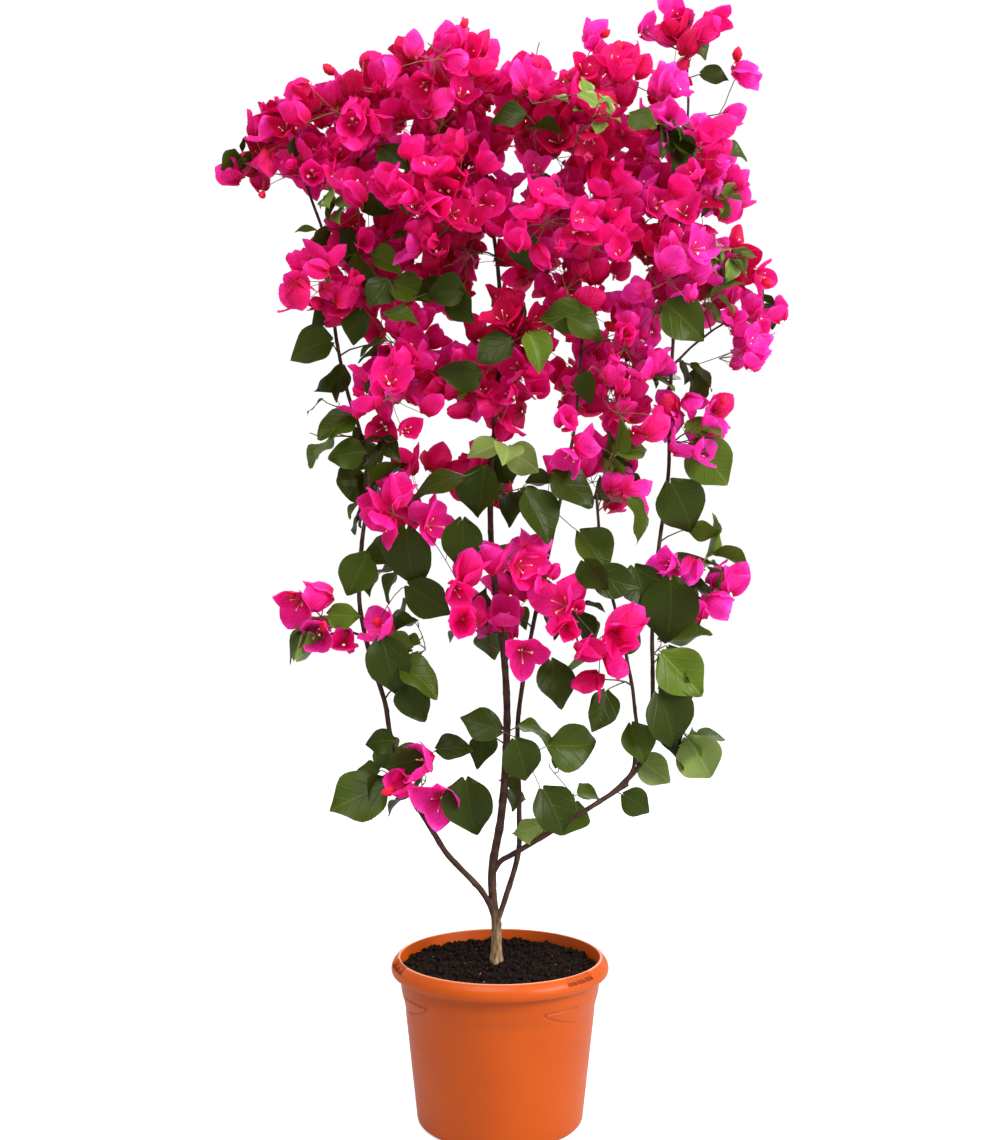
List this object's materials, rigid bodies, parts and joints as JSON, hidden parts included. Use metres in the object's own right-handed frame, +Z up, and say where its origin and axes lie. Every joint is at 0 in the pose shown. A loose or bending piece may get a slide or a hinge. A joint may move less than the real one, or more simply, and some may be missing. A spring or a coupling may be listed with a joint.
{
  "type": "bougainvillea bush in a pot",
  "caption": "Bougainvillea bush with slender branching stems, dark green leaves and a crown of hot pink papery bracts, growing in a round orange plastic pot.",
  "frame": {"origin": "centre of the flat underside of the pot", "axes": "+Z up along the pot's axis, +X to the right seen from the front, +Y to the back"},
  "size_m": [0.62, 0.302, 1.246],
  "materials": {
    "pot": "satin",
    "soil": "matte",
    "bark": "matte",
    "blossom": "matte",
    "leaf": "satin"
  },
  "bodies": {
    "root": {"pot": "pot", "soil": "soil", "trunk": "bark", "centre_stem": "bark", "left_bough": "bark", "right_inner_stem": "bark", "right_long_bough": "bark", "right_outer_stem": "bark", "right_fork_stem": "bark", "left_outer_stem": "bark", "left_crown_bough": "bark", "right_crown_bough": "bark", "far_right_bough": "bark", "left_spray_bough": "bark", "right_spray_bough": "bark", "lower_right_bough": "bark", "mass_top_left": "blossom", "mass_top_centre": "blossom", "mass_top_right": "blossom", "mass_tip_left": "blossom", "mass_tip_right": "blossom", "mass_heart_left": "blossom", "mass_heart_right": "blossom", "mass_shoulder_left": "blossom", "mass_shoulder_right": "blossom", "mass_flank_right": "blossom", "mass_tip_far_right": "blossom", "mass_middle_left": "blossom", "mass_middle_centre": "blossom", "mass_middle_right": "blossom", "mass_edge_left": "leaf", "mass_edge_right": "blossom", "mass_waist_left": "leaf", "mass_waist_centre": "leaf", "mass_waist_right": "blossom", "mass_right_spray": "blossom", "mass_lower_left": "blossom", "mass_lower_centre": "blossom", "mass_lower_right": "blossom", "mass_left_spray": "blossom", "mass_right_low": "leaf", "mass_skirt_left": "leaf", "mass_skirt_centre": "leaf", "mass_skirt_right": "leaf", "mass_skirt_far_right": "leaf"}
  },
  "joints": []
}
